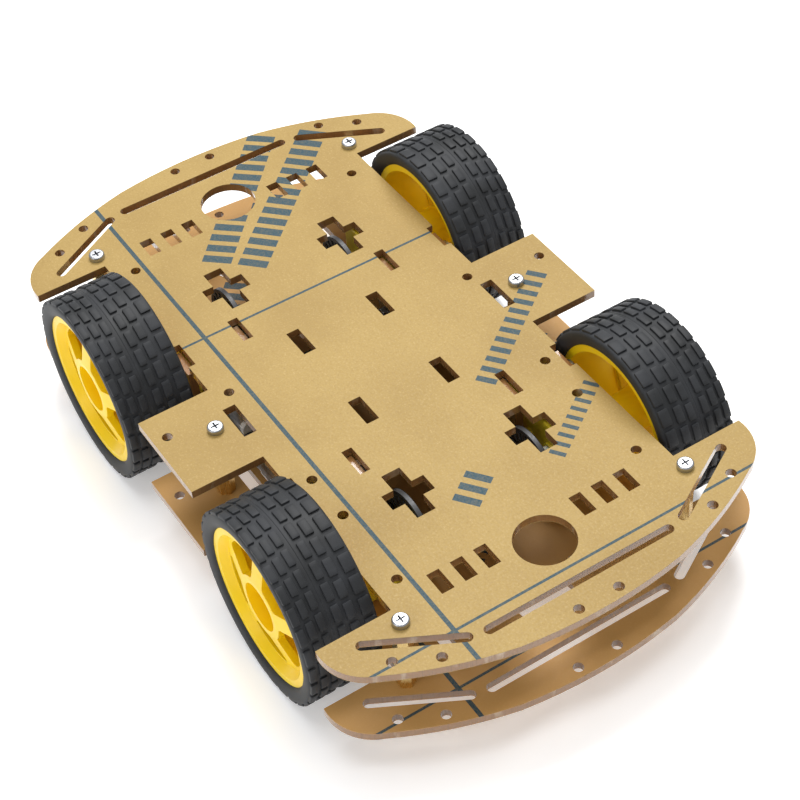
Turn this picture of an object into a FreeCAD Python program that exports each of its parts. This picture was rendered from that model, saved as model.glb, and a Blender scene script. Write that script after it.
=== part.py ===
import FreeCAD, Part

import math
import os

# Four wheel robot chassis, assembled. Millimetres.
# +X is forward, +Y is left, +Z is up; the origin is on the ground, below the middle of the plates.

V = FreeCAD.Vector
X_AXIS, Y_AXIS, Z_AXIS = V(1, 0, 0), V(0, 1, 0), V(0, 0, 1)
ORIGIN = V(0, 0, 0)

# ---- driving dimensions ----------------------------------------------------------------
WHEEL_RADIUS = 33.0         # over the tread
TYRE_WIDTH = 26.0
AXLE_X = 57.3               # half the wheelbase
MOTOR_Y = 40.0              # middle of each gearbox, from the centre line
PLATE_LENGTH = 255.0
PLATE_WIDTH = 155.0
CORE_THICKNESS = 2.8        # acrylic
FILM_THICKNESS = 0.1        # protective paper on each face
PLATE_GAP = 25.0            # length of the standoffs
GEARBOX_HEIGHT = 22.5
GEARBOX_LIFT = 0.6          # gap under the gearbox, so that the nuts clear the plate
GEARBOX_WIDTH = 18.8
BOLT_SPACING = 17.5         # between the two bolts of a gearbox
BOLT_OFFSET = 20.6          # from the axle to those bolts
SHAFT_SPAN = 37.0           # tip to tip of the output shaft
RUNNING = 0.05              # radial clearance of every turning fit
M3_R = 1.49                 # screw shank
M3_HOLE_R = 1.6
PLATE_HOLE_R = 1.75

AXLE_Z = WHEEL_RADIUS
PLATE_THICKNESS = CORE_THICKNESS + 2 * FILM_THICKNESS
LOWER_TOP = AXLE_Z - GEARBOX_HEIGHT / 2 - GEARBOX_LIFT
LOWER_BOTTOM = LOWER_TOP - PLATE_THICKNESS
UPPER_BOTTOM = LOWER_TOP + PLATE_GAP
UPPER_TOP = UPPER_BOTTOM + PLATE_THICKNESS

# ---- plate outline and cut-outs ----------------------------------------------------------
WAIST_Y = 51.7              # half width between the wheels
TAB_X = 18.0                # half length of the tab between two wheels
TAB_Y = 77.3
ARCH_X = 92.6               # bumper edge of the wheel cut-out
NOSE_SHOULDER = (125.1, 28.7)
FLANK_MIDDLE = (118.1, 51.0)
FLANK_END = (110.3, 67.3)
CORNER_MIDDLE = (104.4, 74.6)
BRACKET_X = AXLE_X - BOLT_OFFSET
BRACKET_WIDTH = 11.0
BRACKET_THICKNESS = 3.0
BRACKET_SLOT = (11.4, 3.7)
BRACKET_SLOT_Y = 29.05
NOTCH_Y = 49.2
CROSS_X, CROSS_Y = AXLE_X, 22.9
CROSS_LONG, CROSS_SHORT, CROSS_ARM = 20.6, 15.4, 6.7
BIG_HOLE_X, BIG_HOLE_R = 97.0, 9.9
PORT_X = 92.0               # six short slots beside each big hole
PORT_YS = (17.5, 25.8, 34.1)
PORT_SIZE = (8.6, 4.4)
BUMPER_SLOT_X, BUMPER_SLOT_HALF, SLOT_WIDTH = 114.9, 34.1, 3.5
SLANT_FROM, SLANT_TO = (98.6, 65.6), (113.5, 39.1)
SIDE_SLOT_Y, SIDE_SLOT_SIZE = 50.05, (14.4, 4.5)
CENTRE_SLOT_XY, CENTRE_SLOT_SIZE = (19.5, 15.5), (11.8, 4.6)
CORNER_HOLES = ((98.2, 51.9), (83.9, 44.1), (108.4, 61.5), (115.2, 48.9), (123.8, 7.2))
FRONT_HOLES = ((53.4, 44.0), (35.5, 44.3))
TAB_HOLES = ((-13.0, 46.6), (-7.2, 72.4), (-0.8, 58.3))
STANDOFF_CORNER = CORNER_HOLES[0]
STANDOFF_TAB = TAB_HOLES[2]

# ---- gearbox and gear train ----------------------------------------------------------------
# A motor's own frame: the axle lies on Y through the origin, the motor points along +X,
# and +Y is the wheel side.
GEARBOX_FRONT, GEARBOX_BACK = -11.1, 25.9
GEARBOX_WALL = 1.5
MODULE = 0.5
CENTRE_DISTANCE = 11.25     # from the axle to the second gear pin
PINION_TEETH, CROWN_TEETH = 8, 26
CROWN_PINION_TEETH, SLEEVE_TEETH = 9, 36
SLEEVE_PINION_TEETH, IDLER_TEETH = 18, 27
IDLER_PINION_TEETH, OUTPUT_TEETH = 13, 32
BACKLASH = 0.12
PIN_R = 0.9
CASE_SCREWS = ((-8.2, 8.4), (-8.2, -8.4))
SHAFT_R, SHAFT_FLATS = 2.7, 3.7
MOTOR_SHAFT_R = 1.0
CAN_R, CAN_FLATS, CAN_LENGTH, CAN_WALL = 10.05, 15.1, 25.0, 0.5
CAN_BACK = GEARBOX_BACK + CAN_LENGTH

# ---- wheel, along Y from the middle of the gearbox ------------------------------------------
HUB_END = 10.6
RIM_INNER, RIM_OUTER = 15.1, 38.1
TYRE_INNER = 13.6
TYRE_OUTER = TYRE_INNER + TYRE_WIDTH
RIM_R, RIM_LIP_R, BARREL_R, DISH_R = 27.0, 24.5, 25.6, 22.6
CUP_DEPTH, WEB_DEPTH = 0.4, 2.9       # from the rim's face in to the web, at its hub and at its edge
WEB_THICKNESS, RIB_THICKNESS = 2.6, 1.8
SPOKES, SPOKE_WIDTH = 5, 6.2
WINDOW_INNER_R, WINDOW_OUTER_R = 11.0, 21.4
HUB_R, HUB_BASE_R, CUP_R = 6.3, 7.8, 10.0
HUB_RECESS_R, HUB_RECESS_DEPTH = 8.3, 5.0
DISC_Y, DISC_R, DISC_THICKNESS, DISC_SLOTS = -17.1, 13.0, 1.6, 20

CORNERS = ("front_left", "front_right", "rear_left", "rear_right")


def save(name, shape):
    """Writes one node."""
    shape.exportStep("parts/%s.step" % name)


def group(solids):
    """Several equal pieces in one node."""
    return Part.makeCompound(solids)


def box(x, y, z):
    """A box from its (low, high) pair on each axis."""
    return Part.makeBox(x[1] - x[0], y[1] - y[0], z[1] - z[0], V(x[0], y[0], z[0]))


def rod(radius, start, end, axis=Y_AXIS, centre=ORIGIN):
    """A cylinder along an axis, from one height on it to another."""
    return Part.makeCylinder(radius, end - start, centre + axis * start, axis)


def hexagon(flats, start, end, axis, centre):
    """A hexagonal prism with that width across flats; along Y its flats face up and down."""
    side = axis.cross(X_AXIS if abs(axis.x) < 0.5 else Z_AXIS)
    other = axis.cross(side)
    r = flats / math.sqrt(3)
    points = []
    for i in range(7):
        a = math.radians(60 * i + 30)
        points.append(centre + axis * start + side * (r * math.cos(a)) + other * (r * math.sin(a)))
    return Part.Face(Part.makePolygon(points)).extrude(axis * (end - start))


def turned(points):
    """A solid turned about Y from a closed (radius, y) outline."""
    outline = Part.makePolygon([V(r, y, 0) for r, y in points + points[:1]])
    return Part.Face(outline).revolve(ORIGIN, Y_AXIS, 360)


def double_d(radius, flats, start, end):
    """A round bar along Y with two flats, above and below."""
    bar = rod(radius, start, end)
    return bar.common(box((-radius, radius), (start, end), (-flats / 2, flats / 2)))


def at_corner(shape, corner):
    """A copy of a motor's or wheel's piece, turned and moved from its own frame to one corner."""
    front = corner.startswith("front")
    left = corner.endswith("left")
    turn_axis = {(True, True): Y_AXIS, (True, False): Z_AXIS, (False, False): X_AXIS}.get((front, left))
    piece = shape.copy()
    if turn_axis:
        piece.rotate(ORIGIN, turn_axis, 180)
    piece.translate(V(AXLE_X if front else -AXLE_X, MOTOR_Y if left else -MOTOR_Y, AXLE_Z))
    return piece


def four_ways(x, y):
    """The four mirror images of a point in the plate."""
    return [(sx * x, sy * y) for sx in (1, -1) for sy in (1, -1)]


# ---- plates ----------------------------------------------------------------------------------
def plate_outline():
    """The closed edge of a plate: two bumpers, two tabs, and four wheel cut-outs with bracket notches."""
    notch_low = BRACKET_X - BRACKET_SLOT[0] / 2
    notch_high = BRACKET_X + BRACKET_SLOT[0] / 2
    bumper_y = PLATE_WIDTH / 2

    def corner_points(sx, sy):
        line = [(ARCH_X, bumper_y), (ARCH_X, WAIST_Y), (notch_high, WAIST_Y), (notch_high, NOTCH_Y),
                (notch_low, NOTCH_Y), (notch_low, WAIST_Y), (TAB_X, WAIST_Y), (TAB_X, TAB_Y)]
        return [V(sx * x, sy * y, 0) for x, y in line]

    def arc(a, middle, b):
        return Part.Arc(a, middle, b).toShape()

    def bumper(sx):
        def p(xy, sy):
            return V(sx * xy[0], sy * xy[1], 0)
        tip = (ARCH_X, bumper_y)
        return [
            arc(p(tip, -1), p(CORNER_MIDDLE, -1), p(FLANK_END, -1)),
            arc(p(FLANK_END, -1), p(FLANK_MIDDLE, -1), p(NOSE_SHOULDER, -1)),
            arc(p(NOSE_SHOULDER, -1), V(sx * PLATE_LENGTH / 2, 0, 0), p(NOSE_SHOULDER, 1)),
            arc(p(NOSE_SHOULDER, 1), p(FLANK_MIDDLE, 1), p(FLANK_END, 1)),
            arc(p(FLANK_END, 1), p(CORNER_MIDDLE, 1), p(tip, 1)),
        ]

    edges = bumper(1) + bumper(-1)
    for sy in (1, -1):
        side = corner_points(1, sy) + corner_points(-1, sy)[::-1]
        edges += [Part.makeLine(a, b) for a, b in zip(side, side[1:])]
    return Part.Wire(Part.__sortEdges__(edges))


def slot_face(x, y, size):
    """A rectangular opening centred on a point."""
    w, h = size
    corners = [V(x - w / 2, y - h / 2, 0), V(x + w / 2, y - h / 2, 0),
               V(x + w / 2, y + h / 2, 0), V(x - w / 2, y + h / 2, 0)]
    return Part.Face(Part.makePolygon(corners + corners[:1]))


def round_face(x, y, r):
    """A round opening."""
    return Part.Face(Part.Wire(Part.makeCircle(r, V(x, y, 0))))


def long_slot_face(a, b, width):
    """A round-ended slot between two end centres."""
    a, b = V(a[0], a[1], 0), V(b[0], b[1], 0)
    along = (b - a).normalize()
    side = V(-along.y, along.x, 0) * (width / 2)
    edges = [
        Part.makeLine(a + side, b + side),
        Part.Arc(b + side, b + along * (width / 2), b - side).toShape(),
        Part.makeLine(b - side, a - side),
        Part.Arc(a - side, a - along * (width / 2), a + side).toShape(),
    ]
    return Part.Face(Part.Wire(edges))


def plate_openings():
    """Every hole and slot of a plate, as flat faces."""
    faces = []
    for x, y in CORNER_HOLES:
        faces += [round_face(a, b, PLATE_HOLE_R) for a, b in four_ways(x, y)]
    for x, y in FRONT_HOLES + TAB_HOLES:
        faces += [round_face(x, sy * y, PLATE_HOLE_R) for sy in (1, -1)]
    for y in PORT_YS:
        faces += [slot_face(a, b, PORT_SIZE) for a, b in four_ways(PORT_X, y)]
    faces += [slot_face(a, b, BRACKET_SLOT) for a, b in four_ways(BRACKET_X, BRACKET_SLOT_Y)]
    faces += [slot_face(a, b, CENTRE_SLOT_SIZE) for a, b in four_ways(*CENTRE_SLOT_XY)]
    faces += [slot_face(0, sy * SIDE_SLOT_Y, SIDE_SLOT_SIZE) for sy in (1, -1)]
    for x, y in four_ways(CROSS_X, CROSS_Y):
        arm = slot_face(x, y, (CROSS_LONG, CROSS_ARM))
        faces.append(arm.fuse(slot_face(x, y, (CROSS_ARM, CROSS_SHORT))).removeSplitter())
    half = BUMPER_SLOT_HALF - SLOT_WIDTH / 2
    for sx in (1, -1):
        faces.append(round_face(sx * BIG_HOLE_X, 0, BIG_HOLE_R))
        faces.append(long_slot_face((sx * BUMPER_SLOT_X, -half), (sx * BUMPER_SLOT_X, half), SLOT_WIDTH))
        for sy in (1, -1):
            a = (sx * SLANT_FROM[0], sy * SLANT_FROM[1])
            b = (sx * SLANT_TO[0], sy * SLANT_TO[1])
            faces.append(long_slot_face(a, b, SLOT_WIDTH))
    return faces


def plate_sheet():
    """The flat face that both plates and their paper are cut from."""
    return Part.Face(plate_outline()).cut(plate_openings())


def layer(sheet, bottom, thickness):
    """The sheet at one height, as a solid."""
    piece = sheet.copy()
    piece.translate(V(0, 0, bottom))
    return piece.extrude(V(0, 0, thickness))


# ---- fasteners ----------------------------------------------------------------------------------
def pan_screw(length, under_head, direction, x, y, z):
    """A cross-head machine screw; its shank runs along the direction from under the head."""
    centre = V(x, y, z) + direction * under_head
    head_height, head_r = 2.0, 2.75
    shank = rod(M3_R, 0, length, direction, centre)
    head = rod(head_r, -head_height, 0, direction, centre)
    head = head.makeFillet(0.7, [e for e in head.Edges if abs((e.CenterOfMass - centre) * direction
                                                               + head_height) < 1e-6])
    side = direction.cross(X_AXIS if abs(direction.x) < 0.5 else Z_AXIS)
    recess = None
    for axis in (side, direction.cross(side)):
        across = direction.cross(axis)
        corner = centre - direction * (head_height + 0.1) - axis * 1.5 - across * 0.3
        outline = [corner, corner + axis * 3.0, corner + axis * 3.0 + across * 0.6, corner + across * 0.6]
        bar = Part.Face(Part.makePolygon(outline + outline[:1])).extrude(direction * 1.3)
        recess = bar if recess is None else recess.fuse(bar)
    return head.fuse(shank).cut(recess).removeSplitter()


def standoff_places():
    """The six standoffs: one near each corner, one on each tab."""
    return four_ways(*STANDOFF_CORNER) + [(STANDOFF_TAB[0], sy * STANDOFF_TAB[1]) for sy in (1, -1)]


def standoffs():
    """Hexagonal brass standoffs between the plates."""
    made = []
    for x, y in standoff_places():
        post = hexagon(5.5, LOWER_TOP, UPPER_BOTTOM, Z_AXIS, V(x, y, 0))
        made.append(post.cut(rod(M3_R + 0.01, LOWER_TOP, UPPER_BOTTOM, Z_AXIS, V(x, y, 0))))
    return made


def standoff_screws():
    """One screw from above and one from below in each standoff."""
    made = []
    for x, y in standoff_places():
        made.append(pan_screw(8.0, 0, V(0, 0, -1), x, y, UPPER_TOP))
        made.append(pan_screw(8.0, 0, V(0, 0, 1), x, y, LOWER_BOTTOM))
    return made


def bracket_bolt_places():
    """(x, side, z) of the two bolts through each gearbox."""
    return [(sx * BRACKET_X, sy, AXLE_Z + sz * BOLT_SPACING / 2)
            for sx in (1, -1) for sy in (1, -1) for sz in (1, -1)]


def bracket_bolts():
    """Long screws from the wheel side through both brackets and the gearbox."""
    head_y = MOTOR_Y + GEARBOX_WIDTH / 2 + BRACKET_THICKNESS
    return [pan_screw(30.0, 0, V(0, -sy, 0), x, sy * head_y, z) for x, sy, z in bracket_bolt_places()]


def bracket_nuts():
    """Hexagonal nuts against the inner brackets."""
    nut_y = MOTOR_Y - GEARBOX_WIDTH / 2 - BRACKET_THICKNESS
    made = []
    for x, sy, z in bracket_bolt_places():
        centre = V(x, sy * nut_y, z)
        inward = V(0, -sy, 0)
        made.append(hexagon(5.5, 0, 2.4, inward, centre).cut(rod(M3_R + 0.01, 0, 2.4, inward, centre)))
    return made


def brackets(inner_face_y):
    """Four T-shaped acrylic brackets; each head is under the lower plate, its leg stands up the gearbox."""
    head_width, head_height, top_gap = 19.0, 5.0, 0.5
    made = []
    for sx, sy in four_ways(1, 1):
        y = sorted((sy * inner_face_y, sy * (inner_face_y + BRACKET_THICKNESS)))
        x = sx * BRACKET_X
        head = box((x - head_width / 2, x + head_width / 2), y, (LOWER_BOTTOM - head_height, LOWER_BOTTOM))
        leg = box((x - BRACKET_WIDTH / 2, x + BRACKET_WIDTH / 2), y, (LOWER_BOTTOM, UPPER_BOTTOM - top_gap))
        piece = head.fuse(leg).removeSplitter()
        for sz in (1, -1):
            bolt = V(x, 0, AXLE_Z + sz * BOLT_SPACING / 2)
            piece = piece.cut(rod(M3_HOLE_R, y[0] - 1, y[1] + 1, Y_AXIS, bolt))
        made.append(piece)
    return made


# ---- gears -------------------------------------------------------------------------------------
def involute(angle):
    """The involute function of an angle."""
    return math.tan(angle) - angle


def gear_outline(teeth, tooth_at, centre_x=0.0):
    """The closed outline of a spur gear in the XZ plane, with a tooth centred on one direction."""
    pressure = math.radians(20)
    pitch_r = MODULE * teeth / 2
    base_r = pitch_r * math.cos(pressure)
    dedendum, addendum = 1.2 * MODULE, 0.85 * MODULE
    root_r = pitch_r - dedendum
    tip_r = pitch_r + addendum
    half_pitch = (math.pi * MODULE / 2 - BACKLASH) / (2 * pitch_r)

    def half_angle(r):
        if r <= base_r:
            return half_pitch + involute(pressure) - 0.25 * (base_r - r) / base_r
        return half_pitch + involute(pressure) - involute(math.acos(base_r / r))

    points = []
    for i in range(teeth):
        middle = math.radians(tooth_at) + 2 * math.pi * i / teeth
        flank = [(r, half_angle(r)) for r in (root_r, max(pitch_r, base_r), tip_r)]
        for r, a in flank:
            points.append((r, middle - a))
        for r, a in reversed(flank):
            points.append((r, middle + a))
    outline = [V(centre_x + r * math.cos(a), 0, r * math.sin(a)) for r, a in points]
    return Part.makePolygon(outline + outline[:1])


def spur_gear(teeth, start, end, tooth_at, centre_x=0.0):
    """A spur gear along Y."""
    blank = Part.Face(gear_outline(teeth, tooth_at, centre_x)).extrude(V(0, end - start, 0))
    blank.translate(V(0, start, 0))
    return blank


def gap_at(teeth, direction):
    """The tooth position that puts a gap on a direction."""
    return direction + 180.0 / teeth


def crown_gear():
    """The face gear that the motor's pinion drives, with its small pinion, on the second pin."""
    disc_y = (-3.8, -2.6)
    tooth_r = (5.75, 7.15)
    tooth_height, root_half, tip_half = 1.05, 0.36, 0.2
    centre = V(CENTRE_DISTANCE, 0, 0)
    body = rod(tooth_r[1], disc_y[0], disc_y[1], Y_AXIS, centre)
    body = body.fuse(spur_gear(CROWN_PINION_TEETH, disc_y[1], 1.2,
                               gap_at(CROWN_PINION_TEETH, 180), CENTRE_DISTANCE))
    teeth = []
    base = disc_y[1] - 0.1
    for i in range(CROWN_TEETH):
        outline = [V(tooth_r[0], base, -root_half), V(tooth_r[0], disc_y[1] + tooth_height, -tip_half),
                   V(tooth_r[0], disc_y[1] + tooth_height, tip_half), V(tooth_r[0], base, root_half)]
        face = Part.Face(Part.makePolygon(outline + outline[:1]))
        tooth = face.extrude(V(tooth_r[1] - tooth_r[0] - 0.05, 0, 0))
        tooth.rotate(ORIGIN, Y_AXIS, gap_at(CROWN_TEETH, 0) + 360.0 * i / CROWN_TEETH)
        tooth.translate(centre)
        teeth.append(tooth)
    return body.fuse(teeth).cut(rod(PIN_R + RUNNING, -9, 9, Y_AXIS, centre)).removeSplitter()


def sleeve_gear():
    """The double gear that turns freely on the output shaft."""
    large = spur_gear(SLEEVE_TEETH, -0.9, 0.9, 0)
    small = spur_gear(SLEEVE_PINION_TEETH, 0.9, 4.2, 0)
    return large.fuse(small).cut(rod(SHAFT_R + RUNNING, -2, 5))


def idler_gear():
    """The double gear that shares the second pin with the crown gear."""
    large = spur_gear(IDLER_TEETH, 2.8, 4.2, gap_at(IDLER_TEETH, 180), CENTRE_DISTANCE)
    small = spur_gear(IDLER_PINION_TEETH, 4.2, 7.2, gap_at(IDLER_PINION_TEETH, 180), CENTRE_DISTANCE)
    return large.fuse(small).cut(rod(PIN_R + RUNNING, 2, 8, Y_AXIS, V(CENTRE_DISTANCE, 0, 0)))


def output_shaft():
    """The double-D output shaft with the last gear moulded on it."""
    shaft = double_d(SHAFT_R, SHAFT_FLATS, -SHAFT_SPAN / 2, SHAFT_SPAN / 2)
    return spur_gear(OUTPUT_TEETH, 4.9, 7.1, 0).fuse(shaft).removeSplitter()


def gear_pin():
    """The steel pin of the crown gear and the idler gear."""
    return rod(PIN_R, -9.0, 9.0, Y_AXIS, V(CENTRE_DISTANCE, 0, 0))


# ---- gearbox case --------------------------------------------------------------------------------
def gearbox_half(side):
    """One moulded half of the case; side is +1 towards the wheel and -1 inwards."""
    half, wall = GEARBOX_WIDTH / 2, GEARBOX_WALL
    height = GEARBOX_HEIGHT / 2
    front_wall, corner_r, edge_r = 1.4, 2.0, 0.8
    tab_length, tab_thickness, tab_half, tab_hole_r = 5.0, 1.5, 3.5, 1.5
    bearing_r, bearing_lip = 3.6, 0.6
    pin_post_r, pin_nub = 2.0, 2.0
    bolt_post_r, screw_post_r, post_gap = 2.4, 1.9, 0.5
    inner_clear, outer_clear = 4.1, 7.4       # from the split to the posts, past the gears on each side
    screw_r, head_r, head_depth, blind = 1.01, 2.0, 1.4, 2.0
    motor_hole_r = 3.2
    second_pin = V(CENTRE_DISTANCE, 0, 0)
    bolts = [V(BOLT_OFFSET, 0, sz * BOLT_SPACING / 2) for sz in (1, -1)]

    def span(a, b):
        return (a, b) if side > 0 else (-b, -a)

    def upright(solid):
        return [e for e in solid.Edges if abs(e.tangentAt(e.FirstParameter).y) > 0.99]

    shell = box((GEARBOX_FRONT, GEARBOX_BACK), span(0, half), (-height, height))
    shell = shell.makeFillet(corner_r, upright(shell))
    shell = shell.makeFillet(edge_r, [e for e in shell.Edges if abs(e.CenterOfMass.y - side * half) < 1e-6])
    tab = box((GEARBOX_FRONT - tab_length, GEARBOX_FRONT + 1.0), span(0, tab_thickness), (-tab_half, tab_half))
    tab = tab.makeFillet(1.5, [e for e in upright(tab) if e.CenterOfMass.x < GEARBOX_FRONT])
    cavity = box((GEARBOX_FRONT + front_wall, GEARBOX_BACK - wall), span(0, half - wall),
                 (-height + wall, height - wall))
    shell = shell.fuse(tab).cut(cavity)

    posts = [rod(pin_post_r, *span(outer_clear if side > 0 else inner_clear, half), Y_AXIS, second_pin),
             rod(pin_post_r, *span(half - 0.1, half + pin_nub), Y_AXIS, second_pin),
             rod(bearing_r, *span(outer_clear, half + bearing_lip))]
    posts += [rod(bolt_post_r, *span(0, half - post_gap), Y_AXIS, bolt) for bolt in bolts]
    posts += [rod(screw_post_r, *span(0, half - post_gap), Y_AXIS, V(x, 0, z)) for x, z in CASE_SCREWS]

    holes = [rod(SHAFT_R + RUNNING, *span(0, half + 1)),
             rod(PIN_R + 0.01, *span(0, 9.0), Y_AXIS, second_pin),
             rod(tab_hole_r, *span(-1, 3), Y_AXIS, V(GEARBOX_FRONT - tab_length / 2, 0, 0)),
             rod(motor_hole_r, GEARBOX_BACK - 2 * wall, GEARBOX_BACK + 1, X_AXIS)]
    holes += [rod(M3_HOLE_R, *span(-1, half + 1), Y_AXIS, bolt) for bolt in bolts]
    for x, z in CASE_SCREWS:
        holes.append(rod(screw_r, *span(-1, half - blind if side < 0 else half + 1), Y_AXIS, V(x, 0, z)))
        if side > 0:
            holes.append(rod(head_r, half - head_depth, half + 1, Y_AXIS, V(x, 0, z)))
    return shell.fuse(posts).cut(holes).removeSplitter()


def case_screws():
    """The two self-tapping screws that hold a case together."""
    half = GEARBOX_WIDTH / 2
    made = []
    for x, z in CASE_SCREWS:
        centre = V(x, 0, z)
        head = rod(1.9, half - 1.4, half - 0.1, Y_AXIS, centre)
        slot = box((x - 1.2, x + 1.2), (half - 0.7, half), (z - 0.25, z + 0.25))
        other = box((x - 0.25, x + 0.25), (half - 0.7, half), (z - 1.2, z + 1.2))
        made.append(head.cut([slot, other]).fuse(rod(1.0, -half + 2.5, half - 1.4, Y_AXIS, centre)))
    return made


# ---- motor ----------------------------------------------------------------------------------------
def motor_profile(radius, flats, start, end):
    """A round bar along X with two flats, facing +Y and -Y."""
    return rod(radius, start, end, X_AXIS).common(
        box((start, end), (-flats / 2, flats / 2), (-radius, radius)))


def motor_can():
    """The motor's steel can with its front bearing boss."""
    outer = motor_profile(CAN_R, CAN_FLATS, GEARBOX_BACK, CAN_BACK)
    inner = motor_profile(CAN_R - CAN_WALL, CAN_FLATS - 2 * CAN_WALL, GEARBOX_BACK + CAN_WALL, CAN_BACK)
    boss = rod(3.1, GEARBOX_BACK - 1.4, GEARBOX_BACK + CAN_WALL, X_AXIS)
    return outer.cut(inner).fuse(boss).cut(
        rod(MOTOR_SHAFT_R + RUNNING, GEARBOX_BACK - 2, GEARBOX_BACK + 1, X_AXIS)).removeSplitter()


def motor_magnets():
    """Two arc magnets inside the can."""
    low, high = GEARBOX_BACK + 2.0, CAN_BACK - 4.0
    outer_r, inner_r, half_width = CAN_R - CAN_WALL - RUNNING, 7.4, 5.5
    ring = rod(outer_r, low, high, X_AXIS).cut(rod(inner_r, low, high, X_AXIS))
    halves = ((0, CAN_R), (-CAN_R, 0))
    return [ring.common(box((low, high), (-half_width, half_width), span)) for span in halves]


def motor_end_cap():
    """The plastic end cap with its rear bearing boss."""
    plate = motor_profile(CAN_R, CAN_FLATS, CAN_BACK, CAN_BACK + 2.0)
    plug = motor_profile(CAN_R - CAN_WALL, CAN_FLATS - 2 * CAN_WALL, CAN_BACK - 2.0, CAN_BACK)
    plug = plug.cut(rod(6.0, CAN_BACK - 2.0, CAN_BACK, X_AXIS))
    boss = rod(3.2, CAN_BACK + 2.0, CAN_BACK + 3.0, X_AXIS)
    bore = rod(MOTOR_SHAFT_R + RUNNING, CAN_BACK - 1, CAN_BACK + 2.5, X_AXIS)
    return plate.fuse([plug, boss]).cut(bore).removeSplitter()


def motor_terminals():
    """Two brass tabs on the end cap, each with an eye for a wire."""
    made = []
    for z in (6.6, -6.6):
        tab = box((CAN_BACK + 2.0, CAN_BACK + 4.6), (-1.1, 1.1), (z - 0.2, z + 0.2))
        made.append(tab.cut(rod(0.5, z - 1, z + 1, Z_AXIS, V(CAN_BACK + 3.6, 0, 0))))
    return made


def motor_rotor():
    """The motor's shaft with pinion, three-pole armature and commutator."""
    pinion_length = 1.5
    front = CENTRE_DISTANCE + MODULE * CROWN_TEETH / 2 - pinion_length / 2
    armature_x, armature_r, slot_half = (30.0, 43.0), 6.6, 0.8
    pinion = spur_gear(PINION_TEETH, 0, pinion_length, gap_at(PINION_TEETH, 0))
    pinion.rotate(ORIGIN, Z_AXIS, -90)
    pinion.rotate(ORIGIN, X_AXIS, 180.0 / PINION_TEETH)
    pinion.translate(V(front, 0, 0))
    shaft = rod(MOTOR_SHAFT_R, front, CAN_BACK + 2.3, X_AXIS)
    armature = rod(armature_r, *armature_x, X_AXIS)
    gaps = []
    for i in range(3):
        gap = box((armature_x[0] - 1, armature_x[1] + 1), (-slot_half, slot_half), (4.0, armature_r + 1))
        gap.rotate(ORIGIN, X_AXIS, 120 * i)
        gaps.append(gap)
    commutator = rod(2.2, armature_x[1], 47.5, X_AXIS)
    return shaft.fuse([pinion, armature.cut(gaps), commutator]).removeSplitter()


def motor_strap():
    """The clear strap that holds the motor against the gearbox."""
    inside, outside = CAN_FLATS / 2, CAN_FLATS / 2 + 0.7
    back = CAN_BACK + 2.0
    band = box((GEARBOX_BACK, back + 0.7), (-outside, outside), (-4.0, 4.0))
    band = band.cut(box((GEARBOX_BACK, back), (-inside, inside), (-4.0, 4.0)))
    return band.cut(rod(3.3, back - 1, back + 2, X_AXIS))


# ---- wheel ----------------------------------------------------------------------------------------
def rim():
    """The moulded wheel: barrel, five spokes sloping in from the hub's cup, and a long double-D hub."""
    cup_out = RIM_OUTER - CUP_DEPTH
    edge_out = RIM_OUTER - WEB_DEPTH
    edge_in = edge_out - WEB_THICKNESS
    cup_floor = cup_out - HUB_RECESS_DEPTH
    cup_base = cup_floor - WEB_THICKNESS
    flange, step = 1.5, 0.8
    barrel = turned([
        (RIM_LIP_R, RIM_INNER), (RIM_R, RIM_INNER), (RIM_R, RIM_INNER + flange),
        (BARREL_R, RIM_INNER + flange + step), (BARREL_R, RIM_OUTER - flange - step),
        (RIM_R, RIM_OUTER - flange), (RIM_R, RIM_OUTER), (RIM_LIP_R, RIM_OUTER),
        (DISH_R, edge_out), (DISH_R, edge_in)])
    overlap = 0.2
    web = turned([(0, cup_out - WEB_THICKNESS), (CUP_R, cup_out - WEB_THICKNESS), (DISH_R + overlap, edge_in),
                  (DISH_R + overlap, edge_out), (CUP_R, cup_out), (0, cup_out)])
    hub = turned([(0, HUB_END), (HUB_R - 0.4, HUB_END), (HUB_R, HUB_END + 0.4), (HUB_BASE_R, cup_base - 2),
                  (CUP_R, cup_base), (CUP_R, cup_out - 1), (0, cup_out - 1)])
    windows = rod(WINDOW_OUTER_R, edge_in - 1, RIM_OUTER).cut(rod(WINDOW_INNER_R, edge_in - 1, RIM_OUTER))
    rib_start, rib_depth_hub, rib_depth_edge, inside_web = HUB_R - 1, 9.0, 2.0, 1.2
    spokes, ribs = [], []
    for i in range(SPOKES):
        angle = 90 + 360.0 * i / SPOKES
        spoke = box((0, DISH_R), (edge_in - 1, RIM_OUTER), (-SPOKE_WIDTH / 2, SPOKE_WIDTH / 2))
        spoke.rotate(ORIGIN, Y_AXIS, angle)
        spokes.append(spoke)
        low = -RIB_THICKNESS / 2
        outline = [V(rib_start, cup_out - WEB_THICKNESS + inside_web, low),
                   V(DISH_R + overlap, edge_in + inside_web, low),
                   V(DISH_R + overlap, edge_in - rib_depth_edge, low),
                   V(rib_start, edge_in - rib_depth_hub, low)]
        rib = Part.Face(Part.makePolygon(outline + outline[:1])).extrude(V(0, 0, RIB_THICKNESS))
        rib.rotate(ORIGIN, Y_AXIS, angle)
        ribs.append(rib)
    windows = windows.cut(spokes)
    upright = [e for e in windows.Edges if e.Length > WEB_THICKNESS and
               abs(e.tangentAt(e.FirstParameter).y) > 0.99]
    windows = windows.makeFillet(1.6, upright)
    body = barrel.fuse([web, hub] + ribs).cut(windows)
    body = body.cut(rod(HUB_RECESS_R, cup_floor, RIM_OUTER + 1))
    body = body.cut(double_d(SHAFT_R, SHAFT_FLATS, HUB_END - 1, SHAFT_SPAN / 2 + 0.5))
    return body.cut(rod(1.5, HUB_END, cup_floor + 1)).removeSplitter()


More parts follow.
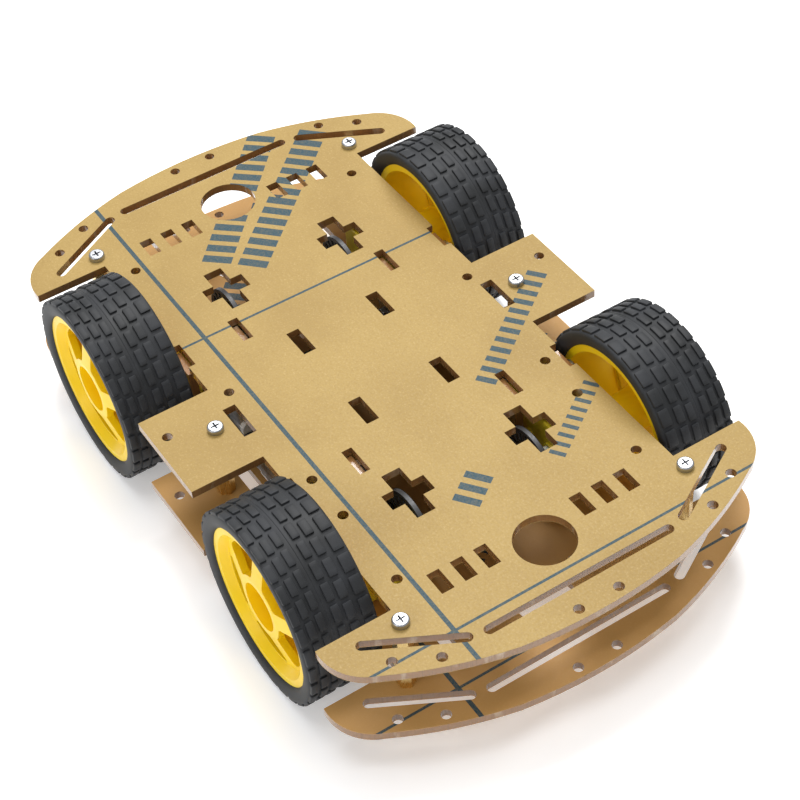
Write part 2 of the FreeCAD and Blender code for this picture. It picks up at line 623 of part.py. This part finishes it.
def tyre():
    """The rubber tyre, seated between the rim's flanges."""
    seat_in, seat_out = RIM_INNER + 1.5, RIM_OUTER - 1.5
    return turned([
        (BARREL_R, seat_in + 0.8), (RIM_R, seat_in), (RIM_R, RIM_INNER), (28.4, TYRE_INNER + 0.3),
        (30.6, TYRE_INNER), (WHEEL_RADIUS - 0.9, TYRE_INNER + 0.5), (WHEEL_RADIUS, TYRE_INNER + 1.6),
        (WHEEL_RADIUS, TYRE_OUTER - 1.6), (WHEEL_RADIUS - 0.9, TYRE_OUTER - 0.5),
        (30.6, TYRE_OUTER), (28.4, TYRE_OUTER - 0.3), (RIM_R, RIM_OUTER), (RIM_R, seat_out),
        (BARREL_R, seat_out - 0.8)])


def encoder_disc():
    """The slotted disc on the shaft's inner end."""
    low, high = DISC_Y - DISC_THICKNESS / 2, DISC_Y + DISC_THICKNESS / 2
    body = rod(DISC_R, low, high).fuse(rod(4.2, -18.3, -13.5))
    slots = []
    for i in range(DISC_SLOTS):
        slot = box((8.4, 11.6), (low - 1, high + 1), (-0.8, 0.8))
        slot.rotate(ORIGIN, Y_AXIS, 360.0 * (i + 0.5) / DISC_SLOTS)
        slots.append(slot)
    return body.cut(slots).cut(double_d(SHAFT_R, SHAFT_FLATS, -19, -13)).removeSplitter()


# ---- the assembly -----------------------------------------------------------------------------------
def main():
    os.makedirs("parts", exist_ok=True)
    sheet = plate_sheet()
    save("lower_plate", layer(sheet, LOWER_BOTTOM + FILM_THICKNESS, CORE_THICKNESS))
    save("upper_plate", layer(sheet, UPPER_BOTTOM + FILM_THICKNESS, CORE_THICKNESS))
    for name, bottom in (("lower_plate_film", LOWER_BOTTOM), ("upper_plate_film", UPPER_BOTTOM)):
        far = bottom + PLATE_THICKNESS - FILM_THICKNESS
        save(name, group([layer(sheet, z, FILM_THICKNESS) for z in (bottom, far)]))
    save("standoffs", group(standoffs()))
    save("standoff_screws", group(standoff_screws()))
    save("inner_motor_brackets", group(brackets(MOTOR_Y - GEARBOX_WIDTH / 2 - BRACKET_THICKNESS)))
    save("outer_motor_brackets", group(brackets(MOTOR_Y + GEARBOX_WIDTH / 2)))
    save("bracket_bolts", group(bracket_bolts()))
    save("bracket_nuts", group(bracket_nuts()))

    grouped = {
        "gear_pins": [gear_pin()],
        "gearbox_screws": case_screws(),
        "motor_straps": [motor_strap()],
        "motor_end_caps": [motor_end_cap()],
        "motor_terminals": motor_terminals(),
        "motor_magnets": motor_magnets(),
    }
    for name, pieces in grouped.items():
        save(name, group([at_corner(p, c) for c in CORNERS for p in pieces]))

    single = {
        "gearbox_outer_half": gearbox_half(1),
        "gearbox_inner_half": gearbox_half(-1),
        "motor_can": motor_can(),
        "motor_rotor": motor_rotor(),
        "crown_gear": crown_gear(),
        "sleeve_gear": sleeve_gear(),
        "idler_gear": idler_gear(),
        "output_shaft": output_shaft(),
        "tyre": tyre(),
        "encoder_disc": encoder_disc(),
    }
    for corner in CORNERS:
        for name, piece in single.items():
            save("%s_%s" % (corner, name), at_corner(piece, corner))
        # two wheels sit half a turn round on their shafts, so that every wheel rests with a spoke upright
        wheel = rim()
        if corner in ("front_right", "rear_left"):
            wheel.rotate(ORIGIN, Y_AXIS, 180)
        save(corner + "_rim", at_corner(wheel, corner))


main()
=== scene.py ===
import math

import bmesh
import bpy
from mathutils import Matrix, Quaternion, Vector


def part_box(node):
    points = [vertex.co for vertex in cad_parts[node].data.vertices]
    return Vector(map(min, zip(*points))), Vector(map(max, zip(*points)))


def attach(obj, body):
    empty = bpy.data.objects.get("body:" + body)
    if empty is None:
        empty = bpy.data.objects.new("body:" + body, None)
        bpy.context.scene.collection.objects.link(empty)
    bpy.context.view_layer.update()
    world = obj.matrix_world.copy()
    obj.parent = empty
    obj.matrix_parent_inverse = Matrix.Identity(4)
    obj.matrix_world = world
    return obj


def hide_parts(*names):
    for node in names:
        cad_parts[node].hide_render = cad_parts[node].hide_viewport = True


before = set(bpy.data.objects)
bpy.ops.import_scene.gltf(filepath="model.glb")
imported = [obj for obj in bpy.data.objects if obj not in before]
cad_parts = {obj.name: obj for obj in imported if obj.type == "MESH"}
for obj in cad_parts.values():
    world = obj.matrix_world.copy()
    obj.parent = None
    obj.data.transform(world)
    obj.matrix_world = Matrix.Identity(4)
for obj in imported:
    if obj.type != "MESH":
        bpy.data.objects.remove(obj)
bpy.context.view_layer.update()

# Four wheel robot chassis. Metres; the frame is the CAD model's.

MM = 0.001
CORNERS = ("front_left", "front_right", "rear_left", "rear_right")

# ---- camera and light --------------------------------------------------------------------------
CAMERA_PLACE = Vector((0.4053, -0.2178, 0.4983))
CAMERA_TARGET = Vector((0.0232, -0.0039, 0.0498))
CAMERA_ROLL = math.radians(-4.9)
LENS_MM = 88.2
SENSOR_MM = 36.0
LAMP_TARGET = Vector((0, 0, 0.03))
# each lamp's name, place, width in metres and power in watts
LAMPS = (
    ("key", (-0.75, 0.55, 1.5), 0.9, 27.0),
    ("top", (0.1, -0.1, 1.9), 1.2, 13.0),
    ("side", (0.25, -1.6, 0.9), 0.9, 5.0),
)
ROOM_COLOUR = (0.95, 0.97, 1.0, 1)
ROOM_STRENGTH = 0.50
FLOOR_SIZE = 6.0
FLOOR_LEVEL = -0.05 * MM
FLOOR_GLOW = 0.3

# ---- tyre tread, in metres ---------------------------------------------------------------------
TREAD_ROWS = 29
STEPS_PER_ROW = 5
TREAD_DEPTH = 0.75 * MM
BLOCK_LENGTH = 5.6 * MM
BLOCK_ROUNDING = 0.28 * MM
BLOCK_FOOT = 0.35 * MM          # how far a block reaches into the tyre's body
TYRE_SEAT_RADIUS = 25.6 * MM
SHARP_ANGLE = math.radians(38)
# (from, to) across the tread, from the edge nearest the gearbox, and each column's lead around it
TREAD_COLUMNS = (
    (1.0 * MM, 4.7 * MM, 0.0),
    (6.5 * MM, 9.4 * MM, 1.0 * MM),
    (10.7 * MM, 13.3 * MM, 2.0 * MM),
    (16.2 * MM, 18.6 * MM, 2.0 * MM),
    (19.8 * MM, 22.2 * MM, 1.0 * MM),
    (23.2 * MM, 25.6 * MM, 0.0),
)
RIB_FROM, RIB_TO = 13.7 * MM, 15.9 * MM

# ---- print on the paper, in metres -------------------------------------------------------------
PRINT_SOFTNESS = 0.04 * MM
LONG_LINE_Y, LONG_LINE_WIDTH = -40.8 * MM, 1.5 * MM
CROSS_LINES_X, CROSS_LINE_WIDTH = (109.5 * MM, -40.0 * MM), 0.95 * MM
# rows of dashes in millimetres: start, end, height of the row, pitch, and the share of the pitch inked
DASH_ROWS = (
    ((-70.0, -20.0), (-123.0, 29.0), 10.5, 5.6, 0.62),
    ((-61.0, -11.0), (-113.0, 45.0), 10.5, 5.6, 0.62),
    ((33.0, 22.0), (-3.0, 70.0), 7.0, 4.8, 0.5),
    ((72.0, 22.0), (52.0, 51.0), 5.5, 4.0, 0.42),
    ((72.0, -12.0), (64.0, -1.0), 9.0, 5.0, 0.55),
)

# ---- colours -----------------------------------------------------------------------------------
PAPER = (0.390, 0.262, 0.082, 1)
PAPER_DARK = (0.335, 0.218, 0.064, 1)
PAPER_FLECK_LIGHT = (0.56, 0.40, 0.17, 1)
PAPER_FLECK_DARK = (0.28, 0.17, 0.050, 1)
PAPER_FIBRE = (0.30, 0.19, 0.060, 1)
# painted shade: the lower deck lies in the upper one's shade, so its paper is painted a browner, warmer
# colour for that shade
PAPER_IN_PAINTED_SHADE = (0.560, 0.300, 0.100, 1)
LOWER_DECK_PAINTED_SHADE = 0.75
INK = (0.018, 0.058, 0.080, 1)
AMBER = (0.34, 0.165, 0.055, 1)
# painted glints: the pale colour stands for highlights on the cut edges
AMBER_PAINTED_GLINT = (0.66, 0.50, 0.33, 1)
AMBER_MARK = (0.20, 0.100, 0.040, 1)
WHEEL_YELLOW = (0.93, 0.66, 0.004, 1)
CASE_YELLOW = (0.74, 0.58, 0.030, 1)


class Graph:
    """The nodes of one material, around its main shader."""

    def __init__(self, name, **constants):
        self.material = bpy.data.materials.new(name)
        self.material.use_nodes = True
        self.tree = self.material.node_tree
        self.main = self.tree.nodes["Principled BSDF"]
        self.place = self.node("TexCoord").outputs["Object"]
        for socket, value in constants.items():
            self.main.inputs[socket.replace("_", " ")].default_value = value

    def node(self, kind, inputs=None, **settings):
        made = self.tree.nodes.new("ShaderNode" + kind)
        for name, value in settings.items():
            setattr(made, name, value)
        for socket, value in (inputs or {}).items():
            self.feed(made.inputs[socket], value)
        return made

    def feed(self, socket, value):
        if isinstance(value, bpy.types.NodeSocket):
            self.tree.links.new(value, socket)
        else:
            socket.default_value = value

    def math(self, operation, a, b=0.0):
        return self.node("Math", {0: a, 1: b}, operation=operation).outputs[0]

    def mix(self, factor, a, b):
        return self.node("Mix", {0: factor, 6: a, 7: b}, data_type="RGBA").outputs[2]

    def noise(self, scale, detail=2.0, stretch=(1, 1, 1), roughness=0.5):
        """Noise with that many features to a metre, drawn out where a stretch is below one."""
        place = self.node("Mapping", {"Vector": self.place, "Scale": stretch}).outputs[0]
        return self.node("TexNoise", {"Vector": place, "Scale": scale, "Detail": detail,
                                      "Roughness": roughness}).outputs[0]

    def ramp(self, value, low, high, to_low=0.0, to_high=1.0):
        """The value moved from one range to another, and held at its ends."""
        return self.node("MapRange", {0: value, 1: low, 2: high, 3: to_low, 4: to_high}).outputs[0]

    def band(self, value, middle, width, softness=PRINT_SOFTNESS):
        """One where the value is inside the band, zero outside it."""
        away = self.math("ABSOLUTE", self.math("SUBTRACT", value, middle))
        return self.ramp(away, width / 2 + softness, width / 2 - softness)

    def bump(self, height, distance, strength=1.0, edge_radius=0.0):
        """Raises the surface by that many metres where the height is one, over softened edges."""
        inputs = {"Height": height, "Distance": distance, "Strength": strength}
        if edge_radius:
            inputs["Normal"] = self.node("Bevel", {"Radius": edge_radius}, samples=6).outputs[0]
        self.feed(self.main.inputs["Normal"], self.node("Bump", inputs).outputs[0])

    def colour(self, value):
        self.feed(self.main.inputs["Base Color"], value)

    def roughness(self, value):
        self.feed(self.main.inputs["Roughness"], value)


# ---- materials ---------------------------------------------------------------------------------
def paper_colour(graph):
    """Kraft paper: broad blotches, fine flecks and short fibres. Returns its colour and its relief."""
    blotches = graph.noise(28, 3)
    flecks = graph.noise(1500, 3, roughness=0.7)
    fibres = graph.noise(900, 2, stretch=(0.25, 1, 1))
    tone = graph.mix(graph.ramp(blotches, 0.35, 0.68), PAPER, PAPER_DARK)
    tone = graph.mix(graph.ramp(flecks, 0.55, 0.70, 0.0, 0.38), tone, PAPER_FLECK_LIGHT)
    tone = graph.mix(graph.ramp(flecks, 0.45, 0.31, 0.0, 0.42), tone, PAPER_FLECK_DARK)
    tone = graph.mix(graph.ramp(fibres, 0.60, 0.75, 0.0, 0.22), tone, PAPER_FIBRE)
    return tone, graph.math("ADD", flecks, graph.math("MULTIPLY", fibres, 0.6))


def dashes(graph, across_x, across_y, row):
    """One printed row: equal upright dashes between two points."""
    start, end, height, pitch, share = row
    start, end = Vector(start) * MM, Vector(end) * MM
    half_pitch = pitch * MM / 2
    half_dash = share * pitch * MM / 2
    along = (end - start).normalized()
    # a whole number of pitches, so that no row ends in a cut dash
    length = round((end - start).length / (pitch * MM)) * pitch * MM
    dx = graph.math("SUBTRACT", across_x, start.x)
    dy = graph.math("SUBTRACT", across_y, start.y)
    u = graph.math("ADD", graph.math("MULTIPLY", dx, along.x), graph.math("MULTIPLY", dy, along.y))
    v = graph.math("SUBTRACT", graph.math("MULTIPLY", dy, along.x), graph.math("MULTIPLY", dx, along.y))
    in_row = graph.math("MULTIPLY", graph.band(v, 0.0, height * MM), graph.band(u, length / 2, length))
    phase = graph.math("PINGPONG", graph.math("ADD", u, half_pitch), half_pitch)
    dash = graph.ramp(phase, half_dash + PRINT_SOFTNESS, half_dash - PRINT_SOFTNESS)
    return graph.math("MULTIPLY", in_row, dash)


def printed_paper(name, painted_shade_share):
    """The protective paper, with its blue guide lines and dashes, moved by that share towards a colour of
    painted shade.
    """
    graph = Graph(name, Specular_IOR_Level=0.25)
    tone, relief = paper_colour(graph)
    # painted shade: the paper's own tone is moved towards the shaded colour by that share
    tone = graph.mix(painted_shade_share, tone, PAPER_IN_PAINTED_SHADE)
    parts = graph.node("SeparateXYZ", {0: graph.place}).outputs
    ink = graph.band(parts["Y"], LONG_LINE_Y, LONG_LINE_WIDTH)
    for x in CROSS_LINES_X:
        ink = graph.math("MAXIMUM", ink, graph.band(parts["X"], x, CROSS_LINE_WIDTH))
    for row in DASH_ROWS:
        ink = graph.math("MAXIMUM", ink, dashes(graph, parts["X"], parts["Y"], row))
    patchy = graph.ramp(graph.noise(1900, 3), 0.30, 0.62, 0.82, 1.0)
    graph.colour(graph.mix(graph.math("MULTIPLY", ink, patchy), tone, INK))
    graph.roughness(graph.ramp(graph.noise(1200, 2), 0.3, 0.7, 0.46, 0.62))
    graph.bump(relief, 0.012 * MM, 0.6)
    return graph.material


def amber_shade(graph):
    """Laser-cut acrylic: amber with painted pale glints and fine upright cutting marks."""
    marks = graph.noise(2200, 2, stretch=(1, 1, 0.06))
    painted_glints = graph.noise(160, 4, stretch=(1, 1, 0.4))
    tone = graph.mix(graph.ramp(painted_glints, 0.58, 0.72, 0.0, 0.7), AMBER, AMBER_PAINTED_GLINT)
    return graph.mix(graph.ramp(marks, 0.52, 0.68, 0.0, 0.35), tone, AMBER_MARK), marks


def cut_acrylic():
    """The clear core of a plate, seen at its cut edges."""
    graph = Graph("cut_acrylic", Coat_Weight=0.6, Coat_Roughness=0.08, Transmission_Weight=0.25, IOR=1.49)
    tone, marks = amber_shade(graph)
    # the amber colour carries painted glints
    graph.colour(tone)
    graph.roughness(graph.ramp(marks, 0.35, 0.65, 0.10, 0.26))
    graph.bump(marks, 0.02 * MM, 0.7)
    return graph.material


def bracket_acrylic():
    """A bracket cut from the same sheet: paper on its two broad faces, amber round its edge."""
    graph = Graph("bracket_acrylic", Coat_Weight=0.2, Coat_Roughness=0.2)
    paper, relief = paper_colour(graph)
    amber, marks = amber_shade(graph)
    facing = graph.node("SeparateXYZ", {0: graph.node("TexCoord").outputs["Normal"]}).outputs["Y"]
    broad = graph.ramp(graph.math("ABSOLUTE", facing), 0.85, 0.95)
    # the amber edge carries painted glints
    graph.colour(graph.mix(broad, amber, paper))
    graph.roughness(graph.ramp(broad, 0.0, 1.0, 0.16, 0.48))
    graph.bump(graph.math("ADD", relief, marks), 0.012 * MM, 0.6)
    return graph.material


def moulded_plastic(name, tone, shade, grain=1800, rough=(0.24, 0.36), depth=0.008, **constants):
    """Moulded plastic: a slightly uneven colour, grain of that depth in mm, softened edges."""
    graph = Graph(name, **constants)
    uneven = graph.noise(55, 3)
    graph.colour(graph.mix(graph.ramp(uneven, 0.32, 0.72), tone, shade))
    grainy = graph.noise(grain, 3)
    graph.roughness(graph.ramp(grainy, 0.3, 0.7, *rough))
    graph.bump(grainy, depth * MM, 0.5, edge_radius=0.25 * MM)
    return graph.material


def wheel_plastic():
    return moulded_plastic("wheel_plastic", WHEEL_YELLOW, (0.92, 0.60, 0.003, 1), grain=420,
                           rough=(0.30, 0.40), depth=0.006, Specular_IOR_Level=0.35)


def case_plastic():
    return moulded_plastic("case_plastic", CASE_YELLOW, (0.70, 0.50, 0.020, 1), grain=2600,
                           rough=(0.34, 0.48), depth=0.014, Subsurface_Weight=0.12,
                           Subsurface_Radius=(1.0, 0.6, 0.1), Subsurface_Scale=1.2 * MM)


def turned_metal(name, tone, worn, marks_along, rough, **constants):
    """Bare metal with fine machining marks and a little tarnish."""
    graph = Graph(name, Metallic=1.0, **constants)
    marks = graph.noise(2400, 2, stretch=marks_along)
    tarnish = graph.noise(210, 3)
    graph.colour(graph.mix(graph.ramp(tarnish, 0.42, 0.74, 0.0, 0.8), tone, worn))
    graph.roughness(graph.ramp(graph.math("ADD", marks, tarnish), 0.6, 1.3, *rough))
    graph.bump(marks, 0.006 * MM, 0.5, edge_radius=0.12 * MM)
    return graph.material


def rubber():
    """Tyre rubber: matt, dusty in patches, with a fine moulded grain."""
    graph = Graph("tyre_rubber", Specular_IOR_Level=0.28)
    dust = graph.noise(90, 4)
    grain = graph.noise(2600, 3)
    tone = graph.mix(graph.ramp(dust, 0.36, 0.74), (0.020, 0.021, 0.022, 1), (0.036, 0.038, 0.042, 1))
    graph.colour(graph.mix(graph.ramp(grain, 0.60, 0.78, 0.0, 0.35), tone, (0.060, 0.062, 0.066, 1)))
    graph.roughness(graph.ramp(dust, 0.3, 0.75, 0.52, 0.66))
    graph.bump(grain, 0.02 * MM, 0.45)
    return graph.material


def clear_strap():
    """Clear plastic with faint flow marks."""
    graph = Graph("clear_strap", Transmission_Weight=0.92, IOR=1.49, Coat_Weight=0.3)
    flow = graph.noise(120, 3, stretch=(0.3, 1, 1))
    graph.colour(graph.mix(graph.ramp(flow, 0.35, 0.7), (0.93, 0.95, 0.96, 1), (0.84, 0.87, 0.88, 1)))
    graph.roughness(graph.ramp(flow, 0.3, 0.7, 0.05, 0.16))
    graph.bump(flow, 0.03 * MM, 0.4)
    return graph.material


def node_materials():
    """The name of each CAD node with its material."""
    steel = turned_metal("zinc_steel", (0.47, 0.48, 0.50, 1), (0.34, 0.345, 0.35, 1), (1, 1, 0.1),
                         (0.26, 0.44))
    can = turned_metal("can_steel", (0.62, 0.62, 0.63, 1), (0.47, 0.46, 0.45, 1), (0.05, 1, 1),
                       (0.24, 0.40))
    brass = turned_metal("brass", (0.86, 0.66, 0.30, 1), (0.76, 0.55, 0.22, 1), (1, 1, 0.08),
                         (0.20, 0.34))
    nylon = moulded_plastic("nylon", (0.80, 0.78, 0.72, 1), (0.74, 0.71, 0.63, 1), rough=(0.36, 0.5),
                            Subsurface_Weight=0.2, Subsurface_Scale=1.0 * MM)
    cap = moulded_plastic("white_cap", (0.82, 0.81, 0.77, 1), (0.76, 0.74, 0.69, 1), rough=(0.38, 0.52))
    black = moulded_plastic("encoder_black", (0.022, 0.022, 0.023, 1), (0.034, 0.033, 0.033, 1),
                            rough=(0.38, 0.55), depth=0.012)
    ferrite = moulded_plastic("ferrite", (0.055, 0.054, 0.056, 1), (0.085, 0.083, 0.083, 1), grain=3200,
                              rough=(0.55, 0.75), depth=0.03)
    case = case_plastic()
    bracket = bracket_acrylic()
    paper = printed_paper("upper_paper", 0.0)
    # the lower deck's paper carries painted shade
    lower_paper_painted_shade = printed_paper("lower_paper_painted_shade", LOWER_DECK_PAINTED_SHADE)
    core = cut_acrylic()
    shared = {
        "lower_plate": core, "upper_plate": core, "lower_plate_film": lower_paper_painted_shade, "upper_plate_film": paper,
        "standoffs": brass, "motor_terminals": brass, "standoff_screws": steel, "bracket_bolts": steel,
        "bracket_nuts": steel, "gear_pins": steel, "gearbox_screws": steel, "inner_motor_brackets": bracket,
        "outer_motor_brackets": bracket, "motor_straps": clear_strap(), "motor_end_caps": cap,
        "motor_magnets": ferrite,
    }
    each = {
        "gearbox_outer_half": case, "gearbox_inner_half": case, "motor_can": can, "motor_rotor": can,
        "rim": wheel_plastic(), "output_shaft": nylon, "sleeve_gear": nylon, "crown_gear": nylon,
        "idler_gear": nylon, "encoder_disc": black,
    }
    for corner in CORNERS:
        shared.update({"%s_%s" % (corner, name): material for name, material in each.items()})
    return shared


# ---- tyres -------------------------------------------------------------------------------------
def block_shape(width):
    """A tread block about the middle of its foot: X around the tyre, Y across it, Z outwards."""
    bm = bmesh.new()
    bmesh.ops.create_cube(bm, size=1.0)
    height = TREAD_DEPTH + BLOCK_FOOT
    bmesh.ops.scale(bm, vec=(BLOCK_LENGTH, width, height), verts=bm.verts)
    bmesh.ops.translate(bm, vec=(0, 0, TREAD_DEPTH - height / 2), verts=bm.verts)
    upper = [e for e in bm.edges if max(v.co.z for v in e.verts) > 0]
    bmesh.ops.bevel(bm, geom=upper, offset=BLOCK_ROUNDING, segments=2, profile=0.5, affect="EDGES")
    for share in (-0.25, 0.0, 0.25):
        every = bm.verts[:] + bm.edges[:] + bm.faces[:]
        bmesh.ops.bisect_plane(bm, geom=every, plane_co=(share * BLOCK_LENGTH, 0, 0), plane_no=(1, 0, 0))
    bm.verts.index_update()
    points = [v.co.copy() for v in bm.verts]
    faces = [[v.index for v in f.verts] for f in bm.faces]
    bm.free()
    return points, faces


def tyre_profile(radius, width, rim_radius):
    """The closed (radius, across) outline of the tyre's body, from its seat round both walls."""
    floor = radius - TREAD_DEPTH
    flange, step = 1.5 * MM, 0.8 * MM
    gap = 1.5 * MM
    wall = [(rim_radius, flange + gap), (rim_radius, gap), (rim_radius + 0.5 * MM, 0.75 * MM),
            (rim_radius + 1.4 * MM, 0.3 * MM), (rim_radius + 2.6 * MM, 0.06 * MM),
            (rim_radius + 3.8 * MM, 0.0), (floor - 0.75 * MM, 0.14 * MM), (floor - 0.3 * MM, 0.40 * MM),
            (floor - 0.05 * MM, 0.85 * MM), (floor, 1.6 * MM)]
    seam = (RIB_FROM + RIB_TO) / 2
    rib_top = floor + 0.10 * MM
    rib = [(floor, RIB_FROM), (rib_top, RIB_FROM + 0.5 * MM), (rib_top, seam - 0.12 * MM),
           (floor + 0.20 * MM, seam), (rib_top, seam + 0.12 * MM), (rib_top, RIB_TO - 0.5 * MM),
           (floor, RIB_TO)]
    far_wall = [(r, width - y) for r, y in reversed(wall)]
    seat = [(TYRE_SEAT_RADIUS, width - flange - gap - step), (TYRE_SEAT_RADIUS, flange + gap + step)]
    return wall + rib + far_wall + seat


def tyre(corner):
    """One moulded tyre with a blocked tread, in place of the plain CAD ring. Returns its object."""
    low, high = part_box(corner + "_tyre")
    rim_low, rim_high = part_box(corner + "_rim")
    radius = (high.z - low.z) / 2
    centre = (low + high) / 2
    outward = 1 if centre.y > 0 else -1
    inner_y = low.y if outward > 0 else high.y
    around = 1 if corner.startswith("front") == (outward > 0) else -1
    points, faces = [], []

    def place(r, angle, across):
        points.append((centre.x + r * math.sin(angle), inner_y + outward * across,
                       centre.z + r * math.cos(angle)))

    steps = TREAD_ROWS * STEPS_PER_ROW
    profile = tyre_profile(radius, high.y - low.y, (rim_high.z - rim_low.z) / 2)
    for i in range(steps):
        for r, across in profile:
            place(r, 2 * math.pi * i / steps, across)
    count = len(profile)
    for i in range(steps):
        a, b = i * count, (i + 1) % steps * count
        for j in range(count):
            k = (j + 1) % count
            faces.append((a + j, a + k, b + k, b + j))
    floor = radius - TREAD_DEPTH
    for start, end, lead in TREAD_COLUMNS:
        shape, sides = block_shape(end - start)
        for row in range(TREAD_ROWS):
            first = len(points)
            middle = 2 * math.pi * row / TREAD_ROWS + around * lead / radius
            for p in shape:
                place(floor + p.z, middle + p.x / radius, (start + end) / 2 + p.y)
            faces.extend([first + i for i in side] for side in sides)

    mesh = bpy.data.meshes.new(corner + "_tread_tyre")
    mesh.from_pydata(points, [], faces)
    bm = bmesh.new()
    bm.from_mesh(mesh)
    bmesh.ops.recalc_face_normals(bm, faces=bm.faces)
    bm.to_mesh(mesh)
    bm.free()
    mesh.shade_smooth()
    mesh.set_sharp_from_angle(angle=SHARP_ANGLE)
    piece = bpy.data.objects.new(corner + "_tread_tyre", mesh)
    bpy.context.scene.collection.objects.link(piece)
    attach(piece, corner + "_wheel")
    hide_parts(corner + "_tyre")
    return piece


# ---- stage -------------------------------------------------------------------------------------
def floor():
    """A plain pale floor under the wheels. It gives off a little light, to lighten the shadows."""
    mesh = bpy.data.meshes.new("floor")
    half = FLOOR_SIZE / 2
    corners = [(x * half, y * half, FLOOR_LEVEL) for x, y in ((-1, -1), (1, -1), (1, 1), (-1, 1))]
    mesh.from_pydata(corners, [], [(0, 1, 2, 3)])
    piece = bpy.data.objects.new("floor", mesh)
    bpy.context.scene.collection.objects.link(piece)
    graph = Graph("floor_white", Specular_IOR_Level=0.1, Emission_Color=(1, 1, 1, 1),
                  Emission_Strength=FLOOR_GLOW)
    graph.colour(graph.mix(graph.noise(3), (0.90, 0.90, 0.90, 1), (0.92, 0.92, 0.92, 1)))
    graph.roughness(0.9)
    mesh.materials.append(graph.material)


def aim(thing, target):
    """Turns a light or camera to look at a point."""
    thing.rotation_mode = "QUATERNION"
    thing.rotation_quaternion = (target - thing.location).to_track_quat("-Z", "Y")


def area_light(name, place, size, power):
    """A round lamp aimed at the middle of the object."""
    light = bpy.data.lights.new(name, "AREA")
    light.shape = "DISK"
    light.size = size
    light.energy = power
    thing = bpy.data.objects.new(name, light)
    bpy.context.scene.collection.objects.link(thing)
    thing.location = place
    aim(thing, LAMP_TARGET)


def lights():
    """A bright white room with three soft lamps: behind the object, above it and, weaker, beside it."""
    world = bpy.data.worlds.new("studio")
    bpy.context.scene.world = world
    world.use_nodes = True
    background = world.node_tree.nodes["Background"]
    background.inputs["Color"].default_value = ROOM_COLOUR
    background.inputs["Strength"].default_value = ROOM_STRENGTH
    for name, place, size, power in LAMPS:
        area_light(name, place, size, power)


def camera():
    """The photo's camera, as solved from the deck, with colours shown as they are set."""
    data = bpy.data.cameras.new("camera")
    data.lens = LENS_MM
    data.sensor_width = SENSOR_MM
    data.dof.use_dof = False
    thing = bpy.data.objects.new("camera", data)
    bpy.context.scene.collection.objects.link(thing)
    thing.location = CAMERA_PLACE
    aim(thing, CAMERA_TARGET)
    thing.rotation_quaternion = thing.rotation_quaternion @ Quaternion((0, 0, 1), CAMERA_ROLL)
    bpy.context.scene.camera = thing
    bpy.context.scene.view_settings.view_transform = "Standard"


# ---- the scene ---------------------------------------------------------------------------------
for node_name, node_material in node_materials().items():
    for material_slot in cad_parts[node_name].material_slots:
        material_slot.material = node_material
tyre_material = rubber()
for wheel_corner in CORNERS:
    tyre(wheel_corner).data.materials.append(tyre_material)
floor()
lights()
camera()
